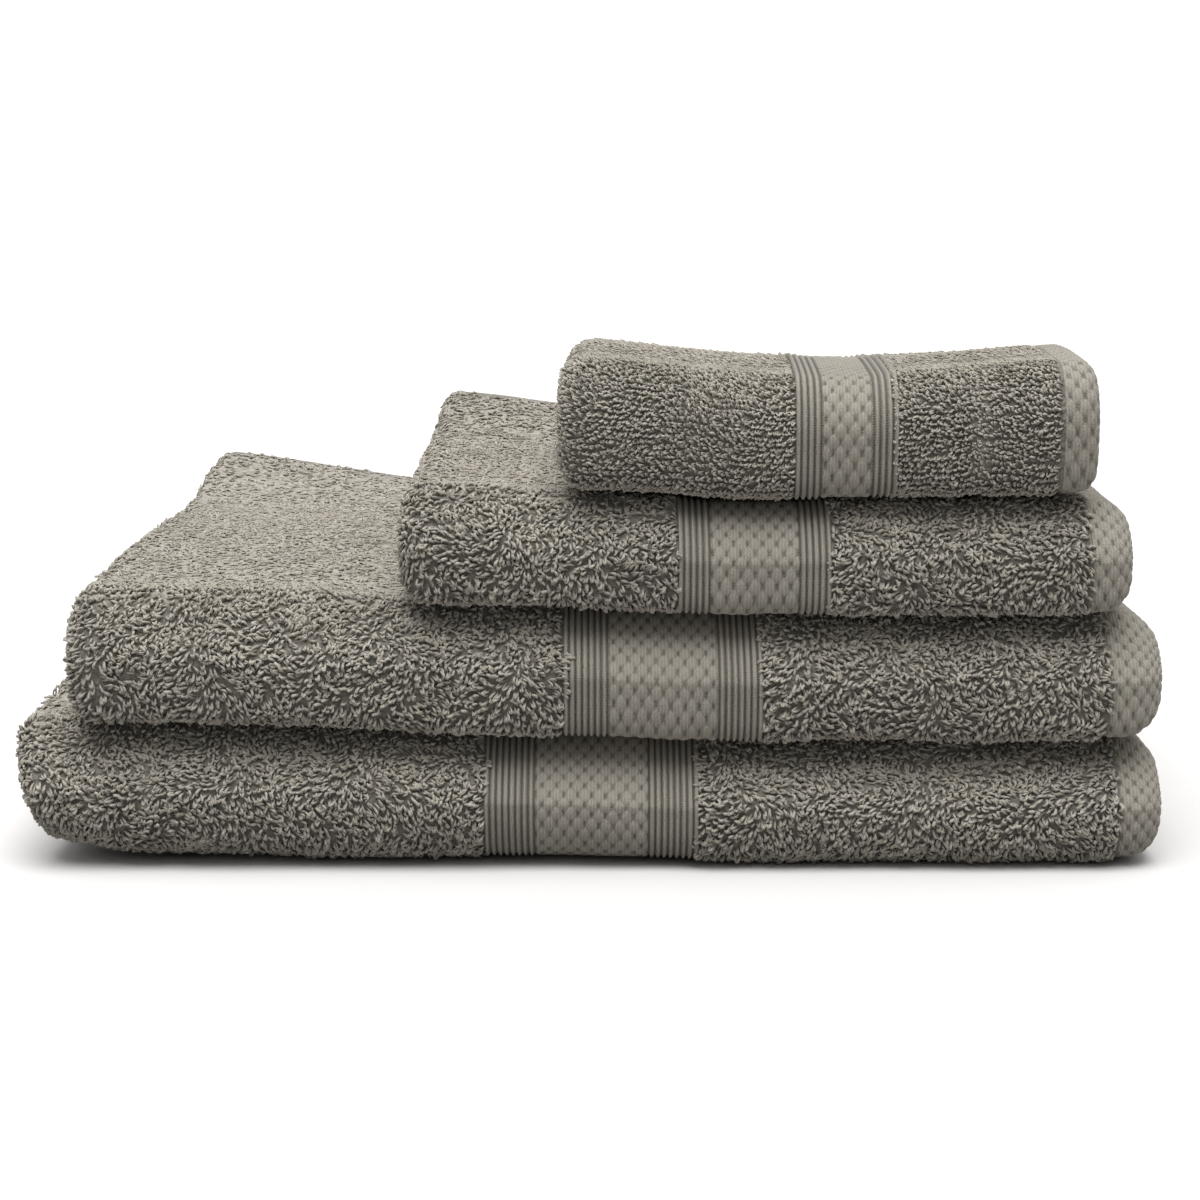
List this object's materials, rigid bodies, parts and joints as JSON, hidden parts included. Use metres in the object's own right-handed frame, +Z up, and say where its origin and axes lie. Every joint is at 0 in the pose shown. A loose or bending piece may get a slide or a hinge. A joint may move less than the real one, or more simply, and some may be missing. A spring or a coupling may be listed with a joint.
{
  "type": "bath towel set",
  "caption": "Stack of folded terry bath linen, largest at the bottom, each cloth with a flat ribbed and honeycomb woven border and a woven end hem.",
  "frame": {"origin": "centre of the stack's footprint, on the surface it rests on", "axes": "+Z up; +X along the folded length, towards the hemmed ends; -Y towards the folded front edge with the borders"},
  "size_m": [0.3736, 0.45, 0.1606],
  "materials": {
    "terry": "warm grey cotton terry, soft twisted loops",
    "border": "warm grey woven cotton, flat ribs and honeycomb cells",
    "hem": "warm grey woven cotton honeycomb, turned and sewn"
  },
  "bodies": {
    "bath_sheet": {"bath_sheet_terry_body": "terry", "bath_sheet_border": "border", "bath_sheet_terry_end": "terry", "bath_sheet_end_hem": "hem", "bath_sheet_inner_fold": "terry", "bath_sheet_inner_hem": "hem"},
    "bath_towel": {"bath_towel_terry_body": "terry", "bath_towel_border": "border", "bath_towel_terry_end": "terry", "bath_towel_end_hem": "hem", "bath_towel_inner_fold": "terry", "bath_towel_inner_hem": "hem"},
    "hand_towel": {"hand_towel_terry_body": "terry", "hand_towel_border": "border", "hand_towel_terry_end": "terry", "hand_towel_end_hem": "hem", "hand_towel_inner_fold": "terry", "hand_towel_inner_hem": "hem"},
    "guest_towel": {"guest_towel_terry_body": "terry", "guest_towel_border": "border", "guest_towel_terry_end": "terry", "guest_towel_end_hem": "hem", "guest_towel_inner_fold": "terry", "guest_towel_inner_hem": "hem"}
  },
  "joints": [
    {"name": "bath_towel_lift", "type": "slide", "parent": "bath_sheet", "child": "bath_towel", "axis": [0, 0, 1], "range_m": [0, 0.15]},
    {"name": "hand_towel_lift", "type": "slide", "parent": "bath_towel", "child": "hand_towel", "axis": [0, 0, 1], "range_m": [0, 0.15]},
    {"name": "guest_towel_lift", "type": "slide", "parent": "hand_towel", "child": "guest_towel", "axis": [0, 0, 1], "range_m": [0, 0.15]}
  ]
}
